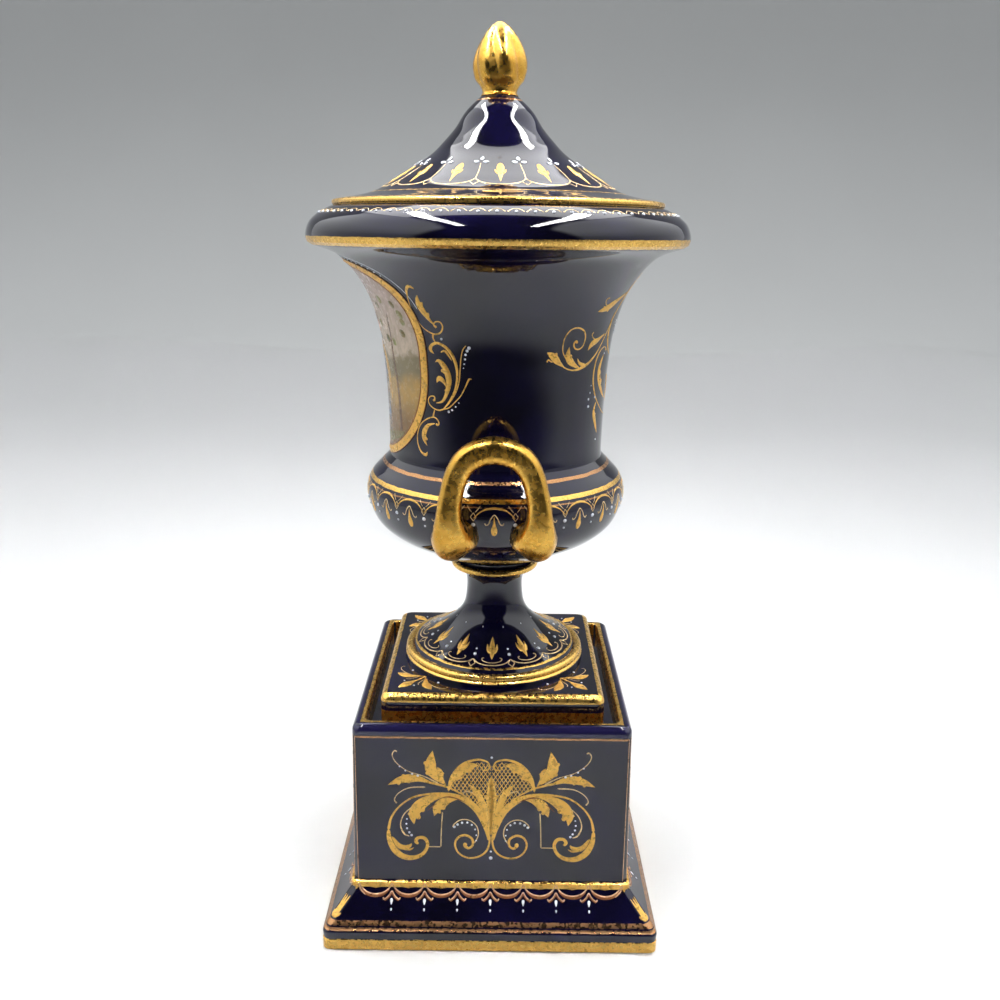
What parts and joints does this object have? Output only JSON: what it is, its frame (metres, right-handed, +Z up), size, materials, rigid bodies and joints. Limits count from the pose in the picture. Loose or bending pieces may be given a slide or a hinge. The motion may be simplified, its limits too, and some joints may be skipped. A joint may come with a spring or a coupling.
{
  "type": "mantel urn",
  "caption": "Covered bell-shaped porcelain urn with loop handles, a lift-off lid and a square plinth, dark glaze with gilt borders.",
  "frame": {"origin": "centre of the plinth's underside, on the surface the urn stands on", "axes": "+Z up; handles at -Y and +Y; the painted medallion faces -X"},
  "size_m": [0.1258, 0.1258, 0.2995],
  "materials": {
    "dark_glaze": "high-gloss dark cobalt glaze over porcelain",
    "gilding": "burnished gold, lightly worn",
    "white_enamel": "raised white enamel beads",
    "painted_panel": "glossy hand-painted landscape medallion"
  },
  "bodies": {
    "root": {"plinth": "dark_glaze", "foot": "dark_glaze", "urn_body": "dark_glaze", "lid": "dark_glaze"}
  },
  "joints": []
}
